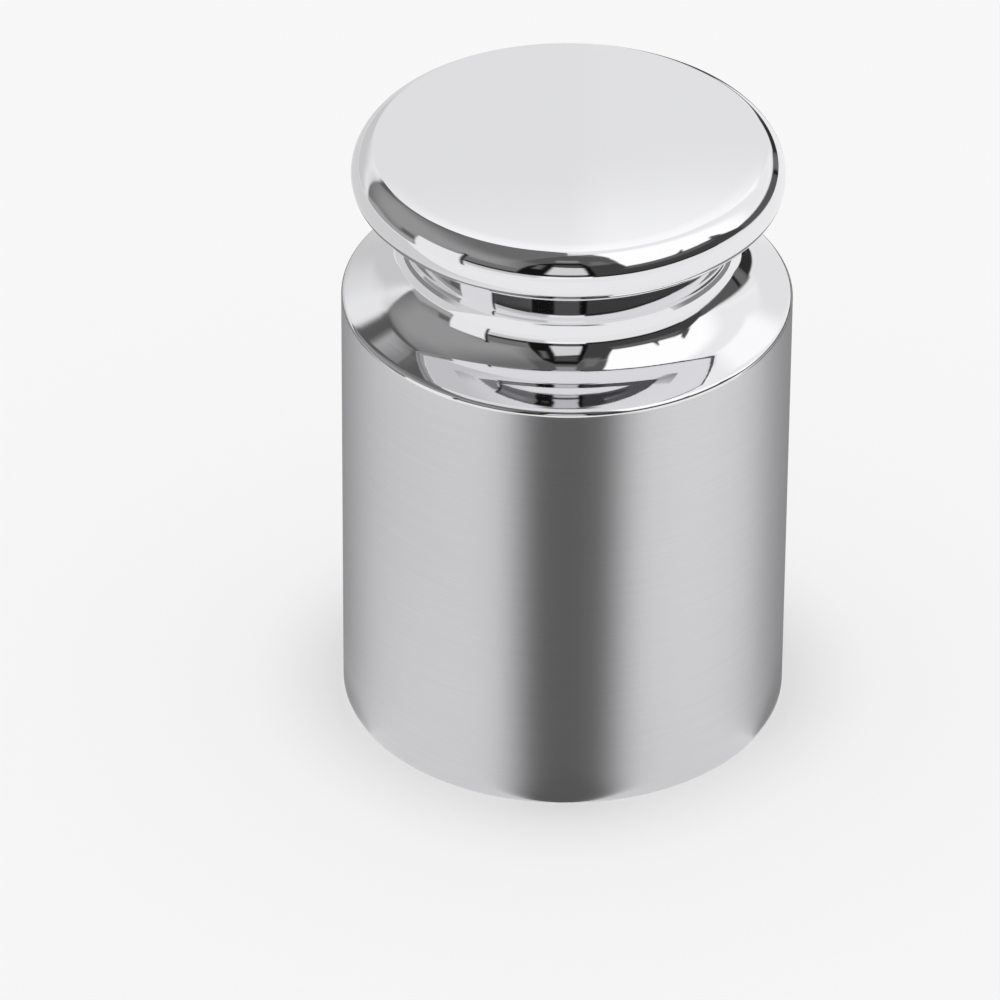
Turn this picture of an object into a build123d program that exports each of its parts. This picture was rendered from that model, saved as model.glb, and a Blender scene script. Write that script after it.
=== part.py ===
from build123d import *
from math import cos, radians, sin, tan
import os

# Calibration weight, 500 g: one piece turned from steel bar. The half section below is revolved about Z.
# The body stands on the plane Z = 0 and its axis is the Z axis. Lengths are in millimetres, angles in degrees.

# Body
body_diameter = 39.9
wall_height = 41.7
base_edge_radius = 0.25
shoulder_edge_radius = 0.45

# Shallow recess turned into the base, which leaves a flat ring to stand on
recess_diameter = 29.0
recess_depth = 1.5
recess_wall_lean = 45.0

# Shoulder: a straight cone in from the edge of the body, then a hollow curve up into the waist
cone_slope = 19.8
cone_inner_diameter = 34.9
shoulder_top_slope = 49.7

# Waist: the groove that a lifting fork or fingers reach into, its neck leaning out towards the knob
neck_diameter = 27.8
waist_foot_radius = 3.5
neck_length = 2.9
neck_lean = 14.0
waist_head_radius = 1.05

# Knob: a broad disc with a full underside and a rounded rim, which meets the domed top face at a crisp edge
knob_diameter = 38.1
underside_slope = 9.6
underside_radius = 5.4
rim_under_radius = 1.8
rim_under_sweep = 46.4
rim_over_radius = 2.9
rim_over_sweep = 70.0
top_edge_radius = 0.12
top_face_rise = 0.25

body_radius = body_diameter / 2
neck_radius = neck_diameter / 2
knob_radius = knob_diameter / 2
recess_radius = recess_diameter / 2
ring_radius = recess_radius + recess_depth * tan(radians(recess_wall_lean))

# The shoulder's curve runs from the cone to the waist's foot arc, so its radius follows from the width between
# them. Along an arc, the width covered is the radius times the change in the sine of the slope.
shoulder_width = cone_inner_diameter / 2 - neck_radius - waist_foot_radius * (1 - sin(radians(shoulder_top_slope)))
slope_change = sin(radians(shoulder_top_slope)) - sin(radians(cone_slope))
shoulder_radius = shoulder_width / slope_change

# The knob's underside ends where its curve and the rim's lower quarter, taken together, reach the knob's radius.
rim_under_slope = 90 - rim_under_sweep
underside_curve_width = underside_radius * (sin(radians(rim_under_slope)) - sin(radians(underside_slope)))
rim_under_width = rim_under_radius * (1 - sin(radians(rim_under_slope)))
underside_end = knob_radius - rim_under_width - underside_curve_width

with BuildPart() as weight:
    with BuildSketch(Plane.XZ) as half_section:
        with BuildLine():
            base_and_wall = Polyline(
                (0, recess_depth),
                (recess_radius, recess_depth),
                (ring_radius, 0),
                (body_radius, 0),
                (body_radius, wall_height),
            )
            cone_end = (
                cone_inner_diameter / 2,
                wall_height + (body_radius - cone_inner_diameter / 2) * tan(radians(cone_slope)),
            )
            cone = Line(base_and_wall @ 1, cone_end)
            shoulder = JernArc(
                start=cone @ 1,
                tangent=cone % 1,
                radius=shoulder_radius,
                arc_size=cone_slope - shoulder_top_slope,
            )
            waist_foot = JernArc(
                start=shoulder @ 1,
                tangent=shoulder % 1,
                radius=waist_foot_radius,
                arc_size=shoulder_top_slope - 90 - neck_lean,
            )
            neck = PolarLine(waist_foot @ 1, neck_length, 90 - neck_lean)
            waist_head = JernArc(
                start=neck @ 1,
                tangent=neck % 1,
                radius=waist_head_radius,
                arc_size=neck_lean + underside_slope - 90,
            )
            underside_length = (underside_end - (waist_head @ 1).X) / cos(radians(underside_slope))
            underside = PolarLine(waist_head @ 1, underside_length, underside_slope)
            underside_curve = JernArc(
                start=underside @ 1,
                tangent=underside % 1,
                radius=underside_radius,
                arc_size=rim_under_slope - underside_slope,
            )
            rim_under = JernArc(
                start=underside_curve @ 1,
                tangent=underside_curve % 1,
                radius=rim_under_radius,
                arc_size=rim_under_sweep,
            )
            rim_over = JernArc(start=rim_under @ 1, tangent=(0, 1), radius=rim_over_radius, arc_size=rim_over_sweep)
            top_edge = rim_over @ 1
            top_centre = (0, top_edge.Y + top_face_rise)
            dome_radius = (top_edge.X**2 + top_face_rise**2) / (2 * top_face_rise)
            RadiusArc(top_edge, top_centre, -dome_radius)
            Line(top_centre, base_and_wall @ 0)
        make_face()
        rounded_corners = [
            ((body_radius, 0), base_edge_radius),
            ((body_radius, wall_height), shoulder_edge_radius),
            (top_edge, top_edge_radius),
        ]
        for corner, radius in rounded_corners:
            fillet(half_section.vertices().sort_by_distance(corner)[0], radius)
    revolve(axis=Axis.Z)

weight.part.label = "weight"

os.makedirs("parts", exist_ok=True)
export_step(weight.part, "parts/weight.step")
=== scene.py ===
# %% [markdown]
# # A calibration weight, turned from one bar of stainless steel
#
# A laboratory weight is about the simplest object there is, one turned piece of steel, so nearly all of
# its looks come from two things: the exact curve of its outline, and how each zone of it was finished.
# The knob, waist and shoulder are buffed to a mirror, the side is left with fine turning lines, and the
# base is faced off plainly. This lesson draws the outline the way a lathe hand would cut it, spins it
# round, gives each zone its finish, and then builds the small studio that a mirror needs to have
# something to show.
#
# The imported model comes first. It fixes the size and the place of everything, in metres, with +Z up.

# %% Load the frame
from math import asin, cos, degrees, hypot, radians, sin, tan

import bmesh
import bpy
import numpy as np
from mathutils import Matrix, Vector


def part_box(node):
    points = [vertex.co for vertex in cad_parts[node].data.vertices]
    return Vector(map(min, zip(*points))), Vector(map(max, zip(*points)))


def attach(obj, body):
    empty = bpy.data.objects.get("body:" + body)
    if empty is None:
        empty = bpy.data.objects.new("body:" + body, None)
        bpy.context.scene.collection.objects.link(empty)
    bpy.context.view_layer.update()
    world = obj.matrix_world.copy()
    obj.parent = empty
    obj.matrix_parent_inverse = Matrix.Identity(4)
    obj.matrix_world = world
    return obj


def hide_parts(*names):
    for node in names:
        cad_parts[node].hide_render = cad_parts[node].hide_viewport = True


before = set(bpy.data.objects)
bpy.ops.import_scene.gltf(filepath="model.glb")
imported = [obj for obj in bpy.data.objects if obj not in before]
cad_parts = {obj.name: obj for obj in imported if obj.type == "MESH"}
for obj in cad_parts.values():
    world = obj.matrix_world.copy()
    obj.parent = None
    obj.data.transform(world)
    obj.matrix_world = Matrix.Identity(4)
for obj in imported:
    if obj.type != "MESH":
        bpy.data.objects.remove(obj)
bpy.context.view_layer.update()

MM = 0.001
low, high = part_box("weight")
body_radius = (high[0] - low[0]) / 2 / MM
total_height = (high[2] - low[2]) / MM
print(f"the weight is {2 * body_radius:.2f} mm across and {total_height:.2f} mm tall")

# %% [markdown]
# Blender works in linear light, while a colour as given here is an sRGB hex value. One function turns the
# one into the other, so that every colour below can be read as it would be in a paint program.
# A second one adds a shader node with its settings, its constants and its links, so that a material reads
# as a list.

# %% Two small helpers
def linear(hex_colour):
    """An sRGB hex colour as the linear red, green, blue and alpha that Blender's sockets take."""
    values = [int(hex_colour[i : i + 2], 16) / 255 for i in (1, 3, 5)]
    values = [v / 12.92 if v <= 0.04045 else ((v + 0.055) / 1.055) ** 2.4 for v in values]
    return (*values, 1.0)


def add_node(tree, kind, inputs=None, links=None, **settings):
    """A new node of that kind, with its settings, its constant inputs and what is plugged into the others."""
    node = tree.nodes.new("ShaderNode" + kind)
    for name, value in settings.items():
        setattr(node, name, value)
    for socket, value in (inputs or {}).items():
        node.inputs[socket].default_value = value
    for socket, source in (links or {}).items():
        tree.links.new(source, node.inputs[socket])
    return node


print("mid grey in linear light:", [round(v, 3) for v in linear("#808080")])

# %% [markdown]
# ## The camera
#
# A product shot of something this small is taken from far away with a long lens, so that the sides stay
# nearly parallel. The camera stands 0.78 m off, looks down by about 34 degrees, and its lens is as long
# as makes the weight fill the frame. A sensor 36 mm wide is Blender's default, so the lens length is
# given for that.

# %% Place the camera
bpy.ops.object.camera_add(location=(0.0, -0.635324, 0.453925))
camera = bpy.context.object
camera.name = "camera"
camera.rotation_euler = (radians(55.6114), radians(-0.2993), radians(0.7283))
camera.data.sensor_width = 36.0
camera.data.lens = 308.65
bpy.context.scene.camera = camera
print("lens", round(camera.data.lens, 1), "mm, standing", round(camera.location.length, 3), "m away")

# %% [markdown]
# ## The outline
#
# A lathe hand works from a half section: what the tool follows from the middle of the base, up the side,
# over the shoulder, round the waist and the knob, and back to the axis. It's a chain of straight runs and
# arcs that flow into each other, so it's enough to know where it starts, which way it's heading, and how
# far each arc turns. These are the sizes of the real thing, in millimetres and degrees.

# %% Sizes of the half section
wall_height = 41.7
base_edge_radius = 0.25
shoulder_edge_radius = 0.45
recess_radius = 14.5
recess_depth = 1.5
cone_slope = 19.8
cone_inner_radius = 17.45
shoulder_top_slope = 49.7
neck_radius = 13.9
waist_foot_radius = 3.5
neck_length = 2.9
neck_lean = 14.0
waist_head_radius = 1.05
knob_radius = 19.05
underside_slope = 9.6
underside_radius = 5.4
rim_under_radius = 1.8
rim_under_sweep = 46.4
rim_over_radius = 2.9
rim_over_sweep = 70.0
top_edge_radius = 0.12
top_face_rise = 0.25

shoulder_width = cone_inner_radius - neck_radius - waist_foot_radius * (1 - sin(radians(shoulder_top_slope)))
shoulder_radius = shoulder_width / (sin(radians(shoulder_top_slope)) - sin(radians(cone_slope)))
rim_under_slope = 90 - rim_under_sweep
underside_end = (
    knob_radius
    - rim_under_radius * (1 - sin(radians(rim_under_slope)))
    - underside_radius * (sin(radians(rim_under_slope)) - sin(radians(underside_slope)))
)
print(f"the shoulder's hollow curve has a radius of {shoulder_radius:.2f} mm")

# %% [markdown]
# By hand, such a line is drawn from a single vertex: add a plane, merge it to one point, extrude that
# point for each straight run, and use Spin on it for each arc, about the arc's centre. `heading` keeps
# the direction of travel, measured from the +X direction towards +Z, so each arc's centre follows from
# where the line has got to. The steps are small, because a mirror shows every flat facet. The front
# view's plane, Y = 0, holds it all.

# %% Draw with straight runs and arcs
def start_line(name, x, z):
    """A new object in edit mode that is one vertex, at x and z in millimetres."""
    bpy.ops.object.select_all(action="DESELECT")
    bpy.ops.mesh.primitive_plane_add(size=MM, location=(x * MM, 0, z * MM))
    bpy.context.object.name = name
    bpy.ops.object.transform_apply(location=True, rotation=True, scale=True)
    bpy.ops.object.mode_set(mode="EDIT")
    bpy.ops.mesh.select_mode(type="VERT")
    bpy.ops.mesh.select_all(action="SELECT")
    bpy.ops.mesh.merge(type="CENTER")
    bpy.ops.mesh.select_all(action="SELECT")
    return bpy.context.object


def run(place, length, heading, steps=1):
    """Extrudes the line's end straight on, in equal steps, and returns the new end."""
    step = (length / steps * cos(radians(heading)), length / steps * sin(radians(heading)))
    for _ in range(steps):
        bpy.ops.mesh.extrude_region_move(
            TRANSFORM_OT_translate={"value": (step[0] * MM, 0, step[1] * MM)}
        )
    return (place[0] + length * cos(radians(heading)), place[1] + length * sin(radians(heading)))


def arc(place, radius, heading, turn, steps):
    """Spins the line's end through an arc, to the left if the turn is positive. Returns end and heading."""
    side = 1 if turn > 0 else -1
    centre = (
        place[0] - side * radius * sin(radians(heading)),
        place[1] + side * radius * cos(radians(heading)),
    )
    bpy.ops.mesh.spin(
        steps=steps,
        angle=radians(abs(turn)),
        center=(centre[0] * MM, 0, centre[1] * MM),
        axis=(0, side, 0),
    )
    heading += turn
    end = (
        centre[0] + side * radius * sin(radians(heading)),
        centre[1] - side * radius * cos(radians(heading)),
    )
    return end, heading


quarter = waist_foot_radius * radians(90)
print(f"a quarter turn at the waist's foot is {quarter:.2f} mm long, or {quarter / 30:.2f} mm a step")

# %% [markdown]
# The line starts on the axis in the base's shallow recess. Its first corners, at the recess and at the
# edges of the base and of the shoulder, are sharp. The recess keeps its corners; the small roundings at the
# base and the shoulder are bevelled after the spin, as a turner breaks an edge last.

# %% Draw the half section
weight = start_line("turned_weight", 0, recess_depth)
place = run((0, recess_depth), recess_radius, 0, steps=6)
place = run(place, hypot(recess_depth, recess_depth), -45, steps=1)
place = run(place, body_radius - place[0], 0, steps=4)
place = run(place, wall_height, 90, steps=12)
shoulder_edge = place
cone_length = (body_radius - cone_inner_radius) / cos(radians(cone_slope))
place = run(place, cone_length, 180 - cone_slope, steps=4)
place, heading = arc(place, shoulder_radius, 180 - cone_slope, cone_slope - shoulder_top_slope, 24)
place, heading = arc(place, waist_foot_radius, heading, shoulder_top_slope - 90 - neck_lean, 30)
place = run(place, neck_length, heading, steps=4)
place, heading = arc(place, waist_head_radius, heading, neck_lean + underside_slope - 90, 22)
place = run(place, (underside_end - place[0]) / cos(radians(heading)), heading, steps=1)
place, heading = arc(place, underside_radius, heading, rim_under_slope - underside_slope, 18)
place, heading = arc(place, rim_under_radius, heading, rim_under_sweep, 18)
rim_level = place[1]
place, heading = arc(place, rim_over_radius, heading, rim_over_sweep, 24)
top_edge = place
print(f"the knob is widest at z {rim_level:.2f} mm")
print(f"its top edge is at r {top_edge[0]:.2f}, z {top_edge[1]:.2f} mm")

# %% [markdown]
# The top face is very slightly domed, as a polishing mop leaves it, so its mirror image shades gently
# from one side to the other instead of showing one flat tone. Its arc has a radius of more than half a
# metre, and ends level on the axis.

# %% Close the outline and spin it
dome_radius = (place[0] ** 2 + top_face_rise**2) / (2 * top_face_rise)
dome_slope = degrees(asin(place[0] / dome_radius))
place, heading = arc(place, dome_radius, 180 - dome_slope, dome_slope, 14)
print(f"the outline ends at r {place[0]:.3f}, z {place[1]:.3f} mm")
print(f"the packed model is {total_height:.3f} mm tall")

bpy.ops.mesh.select_all(action="SELECT")
bpy.ops.mesh.spin(steps=256, angle=radians(360), center=(0, 0, 0), axis=(0, 0, 1))
bpy.ops.mesh.select_all(action="SELECT")
bpy.ops.mesh.remove_doubles(threshold=0.004 * MM)
bpy.ops.mesh.normals_make_consistent(inside=False)
print(len(weight.data.vertices), "vertices before the edges are broken")


# %% [markdown]
# ## Breaking the edges
#
# Three circles are still dead sharp: round the foot, round the shoulder and round the top face. No real
# edge is, and the thin bright line along a broken edge is what makes metal look solid. Each circle is
# selected by its radius and height and then bevelled. Bevel's width is how far it cuts back along each
# face, which for a rounding of radius r between faces that turn by an angle t is r times tan(t / 2).

# %% Bevel the three circles
def bevel_circle(radius, z, rounding, turn, segments):
    """Rounds the sharp circle at that radius and height, where the faces turn by so many degrees."""
    mesh = bmesh.from_edit_mesh(weight.data)
    bpy.ops.mesh.select_all(action="DESELECT")
    bpy.ops.mesh.select_mode(type="EDGE")
    for edge in mesh.edges:
        edge.select_set(
            all(
                abs(hypot(v.co.x, v.co.y) - radius * MM) < 0.003 * MM and abs(v.co.z - z * MM) < 0.003 * MM
                for v in edge.verts
            )
        )
    count = sum(edge.select for edge in mesh.edges)
    bmesh.update_edit_mesh(weight.data)
    bpy.ops.mesh.bevel(offset=rounding * tan(radians(turn / 2)) * MM, segments=segments, affect="EDGES")
    print(f"bevelled {count} edges at r {radius:.2f}, z {z:.2f} mm")


bevel_circle(body_radius, 0, base_edge_radius, 90, 5)
bevel_circle(*shoulder_edge, shoulder_edge_radius, 90 - cone_slope, 6)
bevel_circle(*top_edge, top_edge_radius, 90 - rim_over_sweep - dome_slope, 3)

bpy.ops.mesh.select_all(action="SELECT")
bpy.ops.mesh.normals_make_consistent(inside=False)
bpy.ops.object.mode_set(mode="OBJECT")
bpy.ops.object.shade_smooth_by_angle(angle=radians(32))
weight.data.calc_loop_triangles()
print(len(weight.data.loop_triangles), "triangles in the finished piece")

# %% [markdown]
# ## Mirror-polished stainless steel
#
# The knob, waist and shoulder were turned, then buffed on a mop with ever finer paste until they
# mirrored. What is left of the lathe is a faint ripple that runs round the piece. It can't be seen as
# such, but it breaks up the edge of a reflection into small teeth, and that is what separates real
# polished metal from a computer's perfect mirror. The ripple is noise that reads only the distance from
# the axis and the height, so it is the same all the way round. Its real pitch is a tenth of a millimetre;
# it is drawn at half a millimetre, which is as fine as a picture of the whole weight can show.

# %% Rings about the axis
def rings(tree, pitch, detail=2.0, along=0.0):
    """Noise in rings about the Z axis, pitch millimetres apart, that may change slowly on the way round."""
    place = add_node(tree, "TexCoord").outputs["Object"]
    split = add_node(tree, "SeparateXYZ", links={"Vector": place})
    flat = add_node(tree, "CombineXYZ", links={"X": split.outputs["X"], "Y": split.outputs["Y"]})
    radius = add_node(tree, "VectorMath", links={0: flat.outputs["Vector"]}, operation="LENGTH")
    ring = add_node(
        tree, "CombineXYZ", links={"X": radius.outputs["Value"], "Z": split.outputs["Z"]}, inputs={"Y": 0.0}
    )
    vector = add_node(tree, "VectorMath", links={0: ring.outputs["Vector"]}, operation="SCALE")
    vector.inputs["Scale"].default_value = 1 / (pitch * MM)
    if along:
        drift = add_node(tree, "VectorMath", links={0: flat.outputs["Vector"]}, operation="SCALE")
        drift.inputs["Scale"].default_value = 1 / (along * MM)
        both = {0: vector.outputs["Vector"], 1: drift.outputs["Vector"]}
        vector = add_node(tree, "VectorMath", links=both, operation="ADD")
    return add_node(
        tree, "TexNoise", links={"Vector": vector.outputs["Vector"]}, inputs={"Scale": 1.0, "Detail": detail}
    )


print("at a pitch of half a millimetre, the body's radius holds", round(body_radius / 0.5), "rings")

# %% [markdown]
# Stainless steel is a neutral, very slightly bluish grey, and polished it gives back nearly nine tenths
# of the light. All three finishes are this one metal. Only how rough it is, and in which direction,
# differs.

# %% One metal for all finishes
def new_metal(name, colour, roughness):
    """A metal: its reflectance as a colour, fully metallic, with the default IOR."""
    material = bpy.data.materials.new(name)
    material.use_nodes = True
    shader = material.node_tree.nodes["Principled BSDF"]
    shader.inputs["Base Color"].default_value = linear(colour)
    shader.inputs["Metallic"].default_value = 1.0
    shader.inputs["Roughness"].default_value = roughness
    return material, material.node_tree, shader


print("polished steel gives back", round(linear("#EEEEF0")[0], 2), "of the light")

# %% [markdown]
# The buffed finish is almost, but not quite, a perfect mirror: a roughness of 0.035 leaves the edges of
# the reflections crisp, and takes the glassy hardness off them. The ripple is less than a thousandth of a
# millimetre deep.

# %% Polished steel
polished, tree, shader = new_metal("stainless_steel_mirror_polished", "#EEEEF0", 0.035)
ripple = rings(tree, pitch=0.5, along=6.0)
bump = add_node(
    tree, "Bump", links={"Height": ripple.outputs["Fac"]}, inputs={"Strength": 1.0, "Distance": 0.0006 * MM}
)
tree.links.new(bump.outputs["Normal"], shader.inputs["Normal"])
print(polished.name, "has", len(tree.nodes), "nodes")

# %% [markdown]
# ## Satin-turned stainless steel
#
# The side was left as the tool and a strip of fine emery cloth left it: thousands of fine lines, all
# running round. Each one scatters light up and down but hardly sideways, so the side shows tall soft
# bands of light and dark with no detail in them. Anisotropy does that, with its tangent going round the Z
# axis. The lines themselves are a tenth of a millimetre apart and are drawn twice as coarse, as very
# faint streaks in how bright the steel is and a shallow relief.

# %% Satin steel
satin, tree, shader = new_metal("stainless_steel_satin_turned", "#EBEBED", 0.5)
shader.inputs["Anisotropic"].default_value = 0.9
tangent = add_node(tree, "Tangent", direction_type="RADIAL", axis="Z")
tree.links.new(tangent.outputs["Tangent"], shader.inputs["Tangent"])
lines = rings(tree, pitch=0.2, detail=3.0, along=9.0)
streaks = add_node(tree, "ValToRGB", links={"Fac": lines.outputs["Fac"]})
streaks.color_ramp.elements[0].position = 0.3
streaks.color_ramp.elements[0].color = linear("#E8E8EA")
streaks.color_ramp.elements[1].position = 0.7
streaks.color_ramp.elements[1].color = linear("#EBEBED")
tree.links.new(streaks.outputs["Color"], shader.inputs["Base Color"])
bump = add_node(
    tree, "Bump", links={"Height": lines.outputs["Fac"]}, inputs={"Strength": 1.0, "Distance": 0.0004 * MM}
)
tree.links.new(bump.outputs["Normal"], shader.inputs["Normal"])
print(satin.name, "has", len(tree.nodes), "nodes")

# %% [markdown]
# ## Faced stainless steel
#
# The base is never seen in use. It was faced off flat, with a shallow recess so that the weight stands on
# a ring, and the tool's spiral shows a little more there.

# %% Faced steel
faced, tree, shader = new_metal("stainless_steel_faced", "#D2D2D6", 0.3)
shader.inputs["Anisotropic"].default_value = 0.6
tangent = add_node(tree, "Tangent", direction_type="RADIAL", axis="Z")
tree.links.new(tangent.outputs["Tangent"], shader.inputs["Tangent"])
spiral = rings(tree, pitch=0.35, detail=2.0)
bump = add_node(
    tree, "Bump", links={"Height": spiral.outputs["Fac"]}, inputs={"Strength": 1.0, "Distance": 0.004 * MM}
)
tree.links.new(bump.outputs["Normal"], shader.inputs["Normal"])
print(faced.name, "has", len(tree.nodes), "nodes")

# %% [markdown]
# The three finishes meet on one piece of steel, so they go on one mesh, each on the faces where it
# belongs. The faces are picked by their place: the base lies below the foot's rounding and faces down,
# and the satin side is everything at full radius up to where the shoulder's edge starts to round.

# %% Give each zone its finish
for material in (polished, satin, faced):
    weight.data.materials.append(material)
edge_start = wall_height - shoulder_edge_radius * tan(radians((90 - cone_slope) / 2))
counts = [0, 0, 0]
for face in weight.data.polygons:
    z = face.center.z / MM
    r = hypot(face.center.x, face.center.y) / MM
    on_base = z < base_edge_radius + 0.01 and r < body_radius - base_edge_radius
    in_recess = z < recess_depth + 0.01 and r < recess_radius + recess_depth + 0.1
    if on_base or in_recess:
        face.material_index = 2
    elif z < edge_start and r > body_radius - base_edge_radius:
        face.material_index = 1
    counts[face.material_index] += 1
print("faces polished, satin and faced:", counts)

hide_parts("weight")
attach(weight, "root")

# %% [markdown]
# ## The studio
#
# A mirror has no colour of its own: what it shows is the room. A product photographer therefore builds
# the reflections, with white and grey cards for the bright parts and black ones for the dark parts, all
# out of the camera's sight. Here the whole room is one big dome round the weight, and the cards are
# painted on it. A place on the dome is given by its azimuth (0 towards the camera, 90 to the right, 180
# behind) and its elevation.
#
# A patch of paint is an outline of such places, a grey, and how soft its edge is, in degrees. The grey is
# the one that the polished steel should show, on the usual scale of 0 to 255. The steel gives back 86 %
# of the light, so the paint glows by that much more.

# %% A painter's tools
dome_centre = 0.05
patches = []


def seen(grey):
    """How bright the dome has to glow for polished steel to show that grey."""
    return linear("#" + f"{round(grey):02X}" * 3)[0] / 0.86


def paint(grey, softness, *corners):
    """Adds a patch of one grey. Its corners are (azimuth, elevation) pairs in order round it, in degrees."""
    patches.append((seen(grey), softness, np.array(corners, dtype=float)))


def cover(azimuth, elevation, softness, corners):
    """How much a patch covers each place: 1 well inside, 0 well outside, and a smooth edge between."""
    inside = np.zeros(len(azimuth), dtype=bool)
    nearest = np.full(len(azimuth), 1e9)
    for start, end in zip(corners, np.roll(corners, -1, axis=0)):
        span = end - start
        share = ((azimuth - start[0]) * span[0] + (elevation - start[1]) * span[1]) / (span @ span)
        share = np.clip(share, 0, 1)
        gap = np.hypot(azimuth - start[0] - share * span[0], elevation - start[1] - share * span[1])
        nearest = np.minimum(nearest, gap)
        if span[1]:
            crosses = (start[1] > elevation) != (end[1] > elevation)
            inside ^= crosses & (azimuth < start[0] + span[0] * (elevation - start[1]) / span[1])
    depth = np.clip(np.where(inside, nearest, -nearest) / softness + 0.5, 0, 1)
    return depth * depth * (3 - 2 * depth)


print("a patch that should look mid grey in the steel glows by", round(seen(128), 3))

# %% [markdown]
# The dome and the cards are seen in the steel alone. Hidden from the camera and from the matt floor, they
# can stand wherever the steel needs them, even right in front of the lens, which no real studio could do.

# %% Pieces of the studio
def bare_material(name):
    """A material with no nodes yet, and its tree."""
    material = bpy.data.materials.new(name)
    material.use_nodes = True
    material.node_tree.nodes.clear()
    return material, material.node_tree


def for_reflections_only(thing):
    """Hides a piece of the studio from the camera and from the matt floor, and takes its shadow away."""
    thing.visible_camera = False
    thing.visible_diffuse = False
    thing.visible_shadow = False


print("the dome's centre is at z", round(dome_centre / MM), "mm, the height of the knob")

# %% [markdown]
# The patches go on in the order of a painter's layers. First the ceiling, which is grey and closes the
# room overhead, with a lighter part on the left. On the left stands a tall white window of light between
# two greys. The last four are the wall behind on that side. The flat top of the knob looks at one small
# part of it, straight behind and 34 degrees up, which is a little lighter towards the top and so gives
# the face its gentle gradient. Corners may lie past 180 degrees, so that no soft edge falls on the seam
# behind.

# %% The ceiling and the left side
paint(105, 2.5, (-181, 80), (-170, 73), (-160, 66), (-153, 58), (-150, 50), (-150, 37), (-140, 32.5),
      (-135, 27), (-130, 20), (-125, 11), (-120, 1), (-82, -1), (-52, 16), (33, 16), (33, 50), (36, 60),
      (40, 68), (50, 75), (60, 79), (75, 82), (100, 83.5), (140, 82), (181, 80), (181, 95), (-181, 95))
paint(146, 26, (-135, 30), (-115, 12), (-95, 10), (-60, 30), (-28, 28), (-36, 53), (-110, 57), (-138, 47))
paint(86, 6, (-150, 37), (-139, 33), (-138, 60), (-150, 62))
paint(165, 3, (-152, 41.5), (-144, 41.5), (-143, 49), (-152, 49))
paint(205, 2, (-150, 50.5), (-143.5, 50.5), (-143.5, 53), (-150, 53))
paint(84, 8, (-30, 92), (-30, 56), (36, 56), (44, 72), (60, 92))
paint(160, 6, (-121, 3), (-112, 9), (-96, 6), (-81, 8), (-81, -4), (-121, -4))
paint(95, 4, (-93, 18), (-84, 18), (-82, 10), (-92, 9))
paint(196, 4, (-52, 8), (-52, 17), (-14, 17), (-14, 8))
paint(110, 2, (-56, 17), (-56, 32), (-26, 33), (-25, 17))
paint(50, 1.5, (-53, 15.5), (-53, 20), (-26, 20.5), (-26, 15))
paint(40, 1.2, (-59.5, 37), (-56, 36), (-51.5, 2), (-54, 2))
paint(230, 1.5, (-84.5, 26), (-59.5, 30), (-58, 33), (-53, 0), (-51, -8), (-79, -8), (-80, 0))
paint(214, 8, (-200, 26), (-152, 26), (-140, 20), (-122, 0), (-122, -12), (-200, -12))
paint(196, 10, (-166, 20), (-142, 17), (-126, 1), (-126, -12), (-166, -12))
paint(222, 4, (-200, 24), (-168, 24), (-168, 38), (-200, 38))
paint(244, 7, (-200, 37), (-168, 37), (-168, 50), (-200, 50))
print(len(patches), "patches so far")

# %% [markdown]
# In front stands the camera, between two dark flanks. The weight shows it as a small bright window with
# a dark line under it, and that is the most telling detail in all the bands of reflections.

# %% The front
paint(250, 1.5, (-12, 11.5), (-12, 15.5), (30, 15.5), (30, 11.5))
paint(20, 2, (-26, 15.5), (-25, 33), (-23, 45), (-19, 55), (-10, 61), (10, 61), (14, 52), (14, 15.5))
paint(95, 4, (-19.5, 38), (-15, 38), (-14, 52), (-18.5, 52))
paint(140, 4, (-10, 65), (10, 65), (10, 71), (-10, 71))
paint(62, 2, (13, 13.5), (34, 13), (34, 52), (20, 57), (13, 52))
paint(106, 5, (15, 52), (27, 52), (27, 64), (18, 66))
paint(72, 4, (-9, 48), (9, 48), (9, 56), (-9, 56))
paint(76, 2, (-9, 15.5), (-9, 22.5), (9, 22.5), (9, 15.5))
paint(206, 2.5, (-11, 22.5), (11, 22.5), (9.5, 46), (-8.5, 48))
paint(14, 1.2, (10.6, 19), (14.4, 19), (13.4, 47), (10.8, 47))
print(len(patches), "patches so far")

# %% [markdown]
# On the right hangs the soft box, the biggest and brightest thing in the room, so the right half of the
# shoulder and of the rim are nearly white. A dark band runs below it and ends at the back in a slanting
# leg.

# %% The right side
paint(255, 1.6, (33, 37), (33, 50), (36, 60), (40, 68), (50, 75), (60, 79), (75, 82), (100, 83.5), (140, 82),
      (181, 80), (181, 18), (97, 17), (92, 24), (88, 31), (82, 33.5), (66, 35.5))
paint(232, 20, (104, 14), (116, 40), (120, 88), (190, 88), (190, 14))
paint(224, 5, (150, 10), (150, 35), (200, 36), (200, 10))
paint(250, 7, (140, 33), (176, 35.1), (180, 36.8), (200, 37.5), (200, 50), (140, 50))
paint(62, 2.2, (13, 13.5), (60, 12), (80, 9.5), (95, 5.5), (104, 2), (104, 16), (97, 17), (92, 24), (88, 31),
      (82, 33.5), (66, 35.5), (35, 37), (28, 37), (20, 36))
paint(92, 4, (30, 30), (84, 26), (80, 34), (35, 38))
paint(32, 2, (13, 13), (60, 11.5), (80, 9), (80, 12), (60, 15.5), (13, 17.5))
paint(84, 3.5, (98, 4), (110, 0), (130, -4), (148, -6), (148, 11), (110, 15.5), (98, 17))
paint(28, 1.5, (136.5, -6), (139, -6), (139, 10), (136.5, 10))
paint(104, 1.5, (139.5, -6), (146, -6), (146, 11), (139.5, 11))
paint(44, 2, (147, 9.5), (160, 8.5), (168, -5), (173, -20), (168, -20), (155, -8), (147, -5))
paint(90, 3, (158, 3), (176, -1), (181, -3), (181, -6), (165, -4))
paint(70, 0.8, (60.5, 34), (66, 34), (70.5, 42), (69.5, 42))
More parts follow.
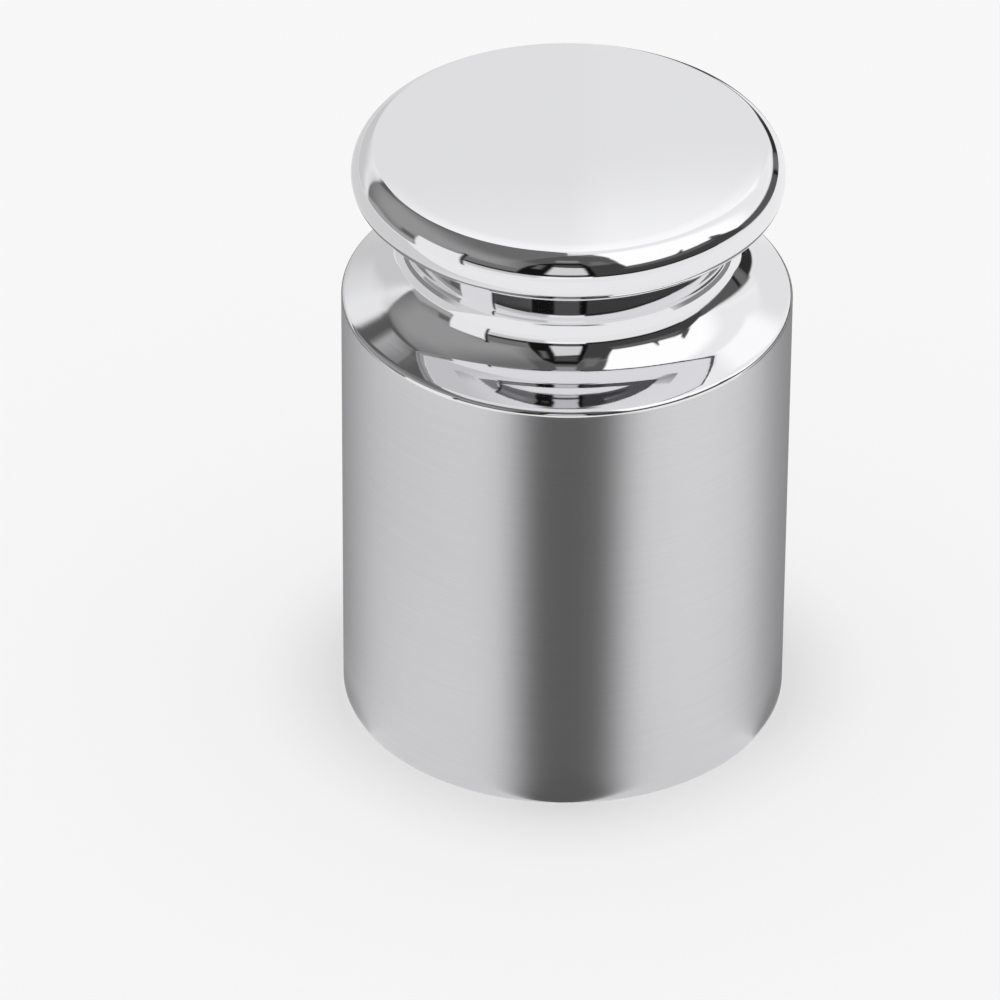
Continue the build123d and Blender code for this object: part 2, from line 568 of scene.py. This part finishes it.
paint(80, 1, (84, 30), (91, 28), (89.5, 39), (86, 36))
print(len(patches), "patches in all")

# %% [markdown]
# The dome is a sphere of one-degree facets, two metres across, centred at the height of the knob. Its
# lowest part, well below the floor, is cut away with a bisect.

# %% Shape the dome
cut_depth = 0.26
bpy.ops.object.select_all(action="DESELECT")
bpy.ops.mesh.primitive_uv_sphere_add(segments=360, ring_count=180, radius=1.0, location=(0, 0, dome_centre))
dome = bpy.context.object
dome.name = "painted_studio_dome"
bpy.ops.object.mode_set(mode="EDIT")
bpy.ops.mesh.select_all(action="SELECT")
bpy.ops.mesh.bisect(plane_co=(0, 0, dome_centre - cut_depth), plane_no=(0, 0, 1), clear_inner=True)
bpy.ops.object.mode_set(mode="OBJECT")
bpy.ops.geometry.color_attribute_add(name="paint", domain="POINT", data_type="FLOAT_COLOR")
print("the dome has", len(dome.data.vertices), "vertices to paint")

# %% [markdown]
# Every vertex starts with the pale grey of the bare wall and then takes the patches over it, one after
# the other, each by as much as it covers that place.

# %% Paint it
wall_grey = 228
places = np.array([v.co for v in dome.data.vertices])
azimuth = np.degrees(np.arctan2(places[:, 0], -places[:, 1]))
elevation = np.degrees(np.arcsin(np.clip(places[:, 2], -1, 1)))
glow = np.full(len(places), seen(wall_grey))
for level, softness, corners in patches:
    share = cover(azimuth, elevation, softness, corners)
    glow += share * (level - glow)
colours = np.ones((len(places), 4))
colours[:, :3] = glow[:, None]
dome.data.color_attributes["paint"].data.foreach_set("color", colours.ravel())
print("the dome's glow runs from", round(glow.min(), 3), "to", round(glow.max(), 3))

# %% [markdown]
# The paint is light: a plain emission in the colour that each vertex has. The camera and the matt floor
# don't see the dome, so it only makes reflections, and the room's plain white light passes through it.

# %% Light it
material, tree = bare_material("studio_dome_light")
coat = add_node(tree, "VertexColor", layer_name="paint")
light = add_node(tree, "Emission", links={"Color": coat.outputs["Color"]}, inputs={"Strength": 1.0})
add_node(tree, "OutputMaterial", links={"Surface": light.outputs["Emission"]})
dome.data.materials.append(material)
for_reflections_only(dome)
print(dome.name, "glows with", material.name)

# %% [markdown]
# ## Glowing paper round the side
#
# The satin side mirrors mostly what stands low and close to it, and its fine lines smear that out upwards
# and downwards. So its tall bands of light and dark come from pieces of grey paper that stand round it and
# glow: painted light, hidden from the camera and the floor. They are lower than the shoulder's edge, so the
# polished parts don't see them. A card with a hard edge would give the side a hard line; these fade out
# along their width, as tracing paper with a sprayed edge would.

# %% A glowing paper that fades out
def glowing_fading_paper(panel, colour, axis, solid_to, clear_from, middle=0.0):
    """Makes a panel a glowing paper, painted light, fading out both ways along an axis, in millimetres from
    its middle.
    """
    material, tree = bare_material(panel.name + "_fading")
    place = add_node(tree, "TexCoord").outputs["Object"]
    split = add_node(tree, "SeparateXYZ", links={"Vector": place})
    along = add_node(
        tree, "Math", links={0: split.outputs[axis]}, inputs={1: middle * MM}, operation="SUBTRACT"
    )
    away = add_node(tree, "Math", links={0: along.outputs["Value"]}, operation="ABSOLUTE")
    fade = add_node(
        tree,
        "MapRange",
        links={"Value": away.outputs["Value"]},
        inputs={"From Min": clear_from * MM, "From Max": solid_to * MM},
        interpolation_type="SMOOTHSTEP",
    )
    clear = add_node(tree, "BsdfTransparent")
    # The paper's grey is a glow, painted light that the steel mirrors.
    grey = add_node(tree, "Emission", inputs={"Color": linear(colour), "Strength": 1.0})
    mixed = add_node(
        tree,
        "MixShader",
        links={0: fade.outputs["Result"], 1: clear.outputs["BSDF"], 2: grey.outputs["Emission"]},
    )
    add_node(tree, "OutputMaterial", links={"Surface": mixed.outputs["Shader"]})
    panel.data.materials.append(material)
    for_reflections_only(panel)
    print(f"{panel.name} is solid to {solid_to} mm and clear from {clear_from} mm")


def flat_sheet(name, width, length, tilt=0):
    """A sheet of that size in millimetres, lying on the floor or tilted up by so many degrees."""
    bpy.ops.object.select_all(action="DESELECT")
    bpy.ops.mesh.primitive_plane_add(size=1.0)
    sheet = bpy.context.object
    sheet.name = name
    sheet.scale = (width * MM, length * MM, 1.0)
    sheet.rotation_euler = (radians(tilt), 0, 0)
    bpy.ops.object.transform_apply(location=False, rotation=True, scale=True)
    return sheet


# %% [markdown]
# The first one stands a millimetre in front of the steel. It glows a dim grey, painted light, which the side
# mirrors as its dark stripe. Its lower edge is folded in over the floor as far as the foot, so that the
# stripe runs down to the base without a bright gap.

# %% The stripe's glowing paper
front = flat_sheet("stripe_glowing_paper", 22, 41, tilt=90)
front.location = (0.55 * MM, -21.0 * MM, 20.6 * MM)
bpy.ops.object.mode_set(mode="EDIT")
bpy.ops.mesh.select_mode(type="VERT")
bpy.ops.mesh.select_all(action="DESELECT")
mesh = bmesh.from_edit_mesh(front.data)
for vertex in mesh.verts:
    vertex.select_set(vertex.co.z < 0)
mesh.select_flush(True)
bmesh.update_edit_mesh(front.data)
bpy.ops.mesh.extrude_region_move(TRANSFORM_OT_translate={"value": (0, 1.1 * MM, 0)})
bpy.ops.object.mode_set(mode="OBJECT")
# The stripe's paper glows a dim grey: painted light for the side to mirror.
glowing_fading_paper(front, "#636363", "X", solid_to=2.7, clear_from=8.0)

# %% [markdown]
# The second is a collar that goes round behind. It glows a mid grey, painted light, which darkens the side
# towards its two outlines. It has a folded foot as well. It fades out towards the front, and again at the
# very back, where the steel would otherwise show nothing but grey to somebody who walks round it.

# %% The collar
collar_start, collar_radius, collar_top = 20.1, 25.0, 41.1
collar_turn, collar_fade_turn = -27, -3
behind = start_line("collar_glowing_paper", collar_start, 0.2)
place = run((collar_start, 0.2), collar_radius - collar_start, 0)
run(place, collar_top - 0.2, 90)
bpy.ops.mesh.select_all(action="SELECT")
bpy.ops.mesh.spin(steps=48, angle=radians(240), center=(0, 0, 0), axis=(0, 0, -1))
bpy.ops.object.mode_set(mode="OBJECT")
behind.rotation_euler.z = radians(collar_turn)
bpy.ops.object.transform_apply(location=False, rotation=True, scale=False)
behind.rotation_euler.z = radians(collar_fade_turn)
# The collar glows a mid grey: painted light for the side to mirror.
glowing_fading_paper(behind, "#8C8C8C", "Y", solid_to=9.7, clear_from=17.7, middle=3.2)

# %% [markdown]
# Two more lie flat on the floor, for the rim of the knob, which looks down at the floor behind it. They
# glow as well, painted light that only reflections see. A pale grey one on the left keeps the rim there from
# melting into the white. A narrow dark one behind, on the right, gives the rim a thin dark outline.

# %% Two cards on the floor
beside = flat_sheet("floor_card", 700, 700)
beside.location = (-345 * MM, 300 * MM, 0.5 * MM)
# A pale grey glow: painted light for the rim to mirror.
glowing_fading_paper(beside, "#DADADA", "X", solid_to=270.0, clear_from=345.0)

strip = flat_sheet("floor_strip", 60, 900)
strip.rotation_euler.z = radians(-9)
strip.location = (85 * MM, 540 * MM, 0.6 * MM)
# A dim glow: painted light, which the rim mirrors as its thin dark outline.
glowing_fading_paper(strip, "#484848", "X", solid_to=8.0, clear_from=26.0)

# %% [markdown]
# ## The floor and the light
#
# The weight stands on a plain white floor, which runs on behind it without a horizon. The floor is
# ordinary matt white paper, so it takes the soft shadow at the foot. For the camera and in reflections it
# also glows, which keeps it white without any more light on the steel. For the camera that glow fades
# towards the foot, so that it doesn't wash out the shadow there.

# %% The floor
glow_share, glow_share_at_foot = 0.65, 0.3
bpy.ops.object.select_all(action="DESELECT")
bpy.ops.mesh.primitive_plane_add(size=6.0, location=(0, 0, 0))
floor = bpy.context.object
floor.name = "floor"
material, tree = bare_material("floor_matt_white_paper")
path = add_node(tree, "LightPath")
place = add_node(tree, "TexCoord").outputs["Object"]
distance = add_node(tree, "VectorMath", links={0: place}, operation="LENGTH")
there = add_node(
    tree,
    "MapRange",
    links={"Value": distance.outputs["Value"]},
    inputs={"From Min": 19 * MM, "From Max": 30 * MM, "To Min": glow_share_at_foot, "To Max": glow_share},
    interpolation_type="SMOOTHSTEP",
)
to_camera = add_node(
    tree, "Math", links={0: path.outputs["Is Camera Ray"], 1: there.outputs["Result"]}, operation="MULTIPLY"
)
to_steel = add_node(
    tree, "Math", links={0: path.outputs["Is Glossy Ray"]}, inputs={1: glow_share}, operation="MULTIPLY"
)
share = add_node(
    tree, "Math", links={0: to_camera.outputs["Value"], 1: to_steel.outputs["Value"]}, operation="MAXIMUM"
)
matt = add_node(tree, "BsdfDiffuse", inputs={"Color": linear("#F8F8F8")})
glow = add_node(tree, "Emission", inputs={"Color": linear("#FAFAFA"), "Strength": 1.0})
mixed = add_node(
    tree,
    "MixShader",
    links={0: share.outputs["Value"], 1: matt.outputs["BSDF"], 2: glow.outputs["Emission"]},
)
add_node(tree, "OutputMaterial", links={"Surface": mixed.outputs["Shader"]})
floor.data.materials.append(material)
print("the floor glows by", glow_share, "of its white, and by", glow_share_at_foot, "at the foot")

# %% [markdown]
# The room's own light is an even white from all round, at the plain strength of 1, as from a light tent.
# It makes the soft shadow, and fills what the dome and the papers leave open.

# %% The room's light
world = bpy.data.worlds.new("studio_surround")
bpy.context.scene.world = world
world.use_nodes = True
world.node_tree.nodes.clear()
surround = add_node(world.node_tree, "Background", inputs={"Color": linear("#FAFAFA"), "Strength": 1.0})
add_node(world.node_tree, "OutputWorld", links={"Surface": surround.outputs["Background"]})
bpy.context.scene.view_settings.view_transform = "Standard"
print("staging:", ", ".join(o.name for o in (dome, front, behind, beside, strip, floor)))
